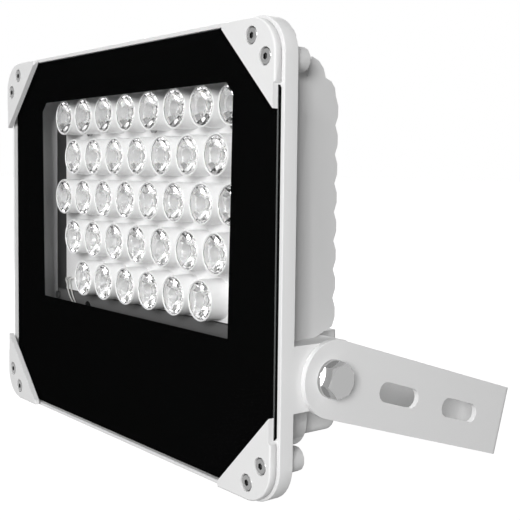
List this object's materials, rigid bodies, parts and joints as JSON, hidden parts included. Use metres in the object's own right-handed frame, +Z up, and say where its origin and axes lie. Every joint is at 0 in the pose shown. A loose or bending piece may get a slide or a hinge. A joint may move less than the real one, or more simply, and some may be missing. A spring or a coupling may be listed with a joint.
{
  "type": "led floodlight",
  "caption": "Rectangular LED floodlight: clear lenses behind a black-bordered glass with corner clamps, finned white casting, tilting on a U-bracket.",
  "frame": {"origin": "centre of the bracket's middle hole, on the rear face of its web", "axes": "+Z up, -Y the way the lamp faces, +X to the right seen from the front; the head is upright and the bracket slopes down to the rear by 17.3 degrees"},
  "size_m": [0.3336, 0.1878, 0.2468],
  "materials": {
    "white_paint": "fine-textured white powder coat",
    "clamp_paint": "white powder coat",
    "glass": "flat toughened glass",
    "black_print": "black print fired on the glass's rear",
    "black_rubber": "moulded",
    "steel": "bright stainless",
    "board_white": "white solder mask",
    "chip_yellow": "phosphor",
    "cup_white": "moulded white",
    "clear_lens": "clear moulding",
    "dark_sheet": "matt sheet",
    "driver_case": "plain",
    "terminal_plastic": "moulded",
    "lead_jacket": "soft jacket",
    "gland_plastic": "grey nylon"
  },
  "bodies": {
    "bracket": {"mounting_bracket": "white_paint"},
    "lamp_head": {"housing": "white_paint", "glass_pane": "glass", "print_border": "black_print", "sealing_gasket": "black_rubber", "clamp_top_left": "clamp_paint", "clamp_top_right": "clamp_paint", "clamp_bottom_left": "clamp_paint", "clamp_bottom_right": "clamp_paint", "clamp_screws": "steel", "led_board": "board_white", "led_chips": "chip_yellow", "lens_cups": "cup_white", "lens_optics": "clear_lens", "board_screws": "steel", "cover_screws": "steel", "cover_sheet": "dark_sheet", "driver": "driver_case", "driver_screws": "steel", "terminal_block": "terminal_plastic", "inner_leads": "lead_jacket", "pivot_bolts": "steel", "flat_washers": "steel", "gland_body": "gland_plastic", "gland_nut": "gland_plastic", "gland_seal": "black_rubber", "gland_locknut": "gland_plastic"}
  },
  "joints": [
    {"name": "head_tilt", "type": "hinge", "parent": "bracket", "child": "lamp_head", "pos_m": [0, -0.14512, 0.0452], "axis": [1, 0, 0], "range_deg": [-75, 90]}
  ]
}
